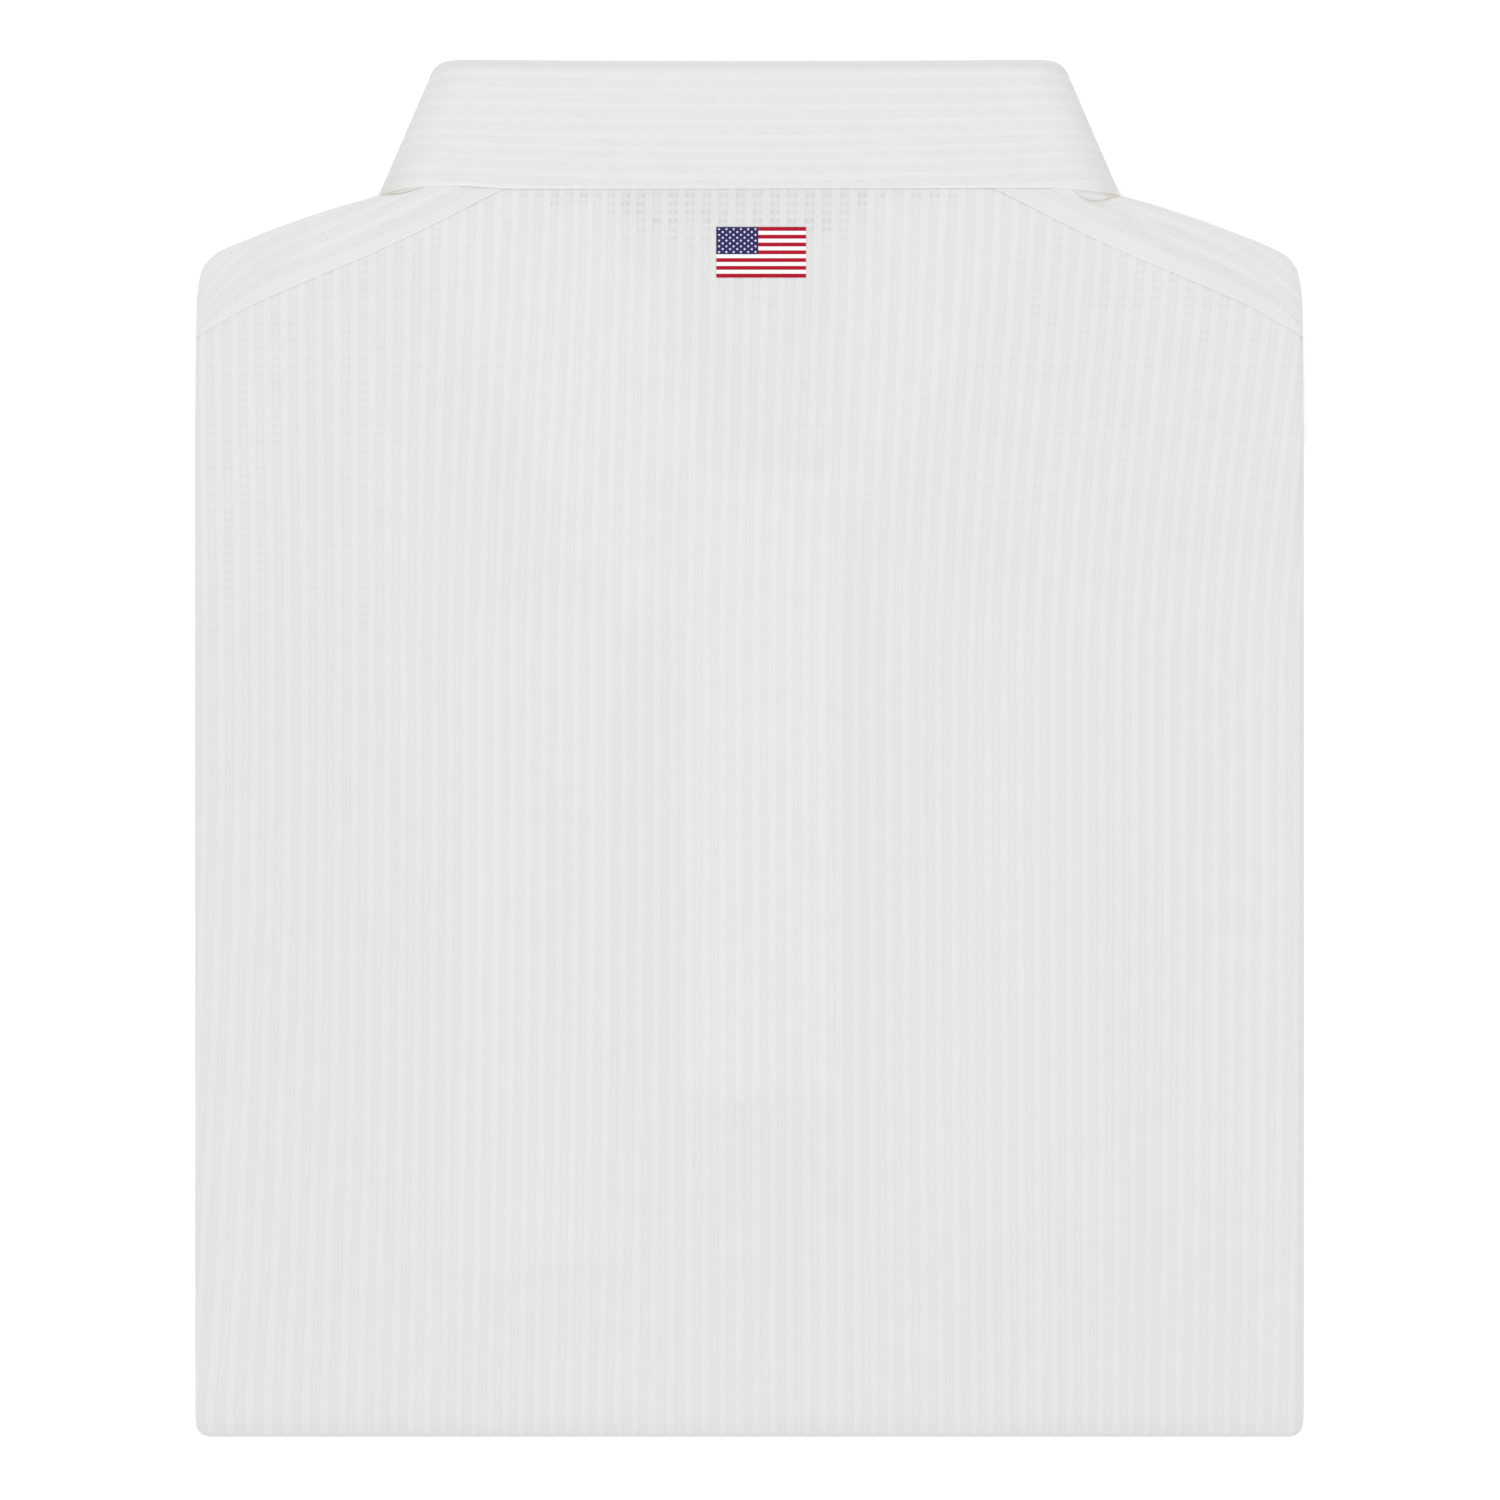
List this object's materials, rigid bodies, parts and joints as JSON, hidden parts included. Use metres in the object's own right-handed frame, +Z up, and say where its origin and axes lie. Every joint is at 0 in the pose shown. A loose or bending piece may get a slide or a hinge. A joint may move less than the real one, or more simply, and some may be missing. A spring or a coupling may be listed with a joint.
{
  "type": "folded polo shirt",
  "caption": "Short-sleeved polo shirt folded flat for storage, back upward, with a turned-down self-fabric collar, slanting shoulder yokes and fine stripes.",
  "frame": {"origin": "middle of the box, on the surface that the shirt lies on", "axes": "+X across the shirt toward the flag's side, +Y from the bottom fold toward the collar, +Z up out of the back"},
  "size_m": [0.3506, 0.435, 0.018],
  "materials": {
    "body_cloth": "fine upright seersucker stripes",
    "yoke_cloth": "fine seersucker stripes along the shoulder",
    "collar_cloth": "fine seersucker stripes across",
    "inner_cloth": "layered folds",
    "button": "soft pearl"
  },
  "bodies": {
    "root": {"back_panel": "body_cloth", "front_panel": "body_cloth", "yoke_left": "yoke_cloth", "yoke_right": "yoke_cloth", "sleeve_left": "body_cloth", "sleeve_right": "body_cloth", "collar_leaf": "collar_cloth", "collar_stand": "collar_cloth", "placket": "collar_cloth", "inner_layers": "inner_cloth", "button_stand": "button", "button_placket": "button"}
  },
  "joints": []
}
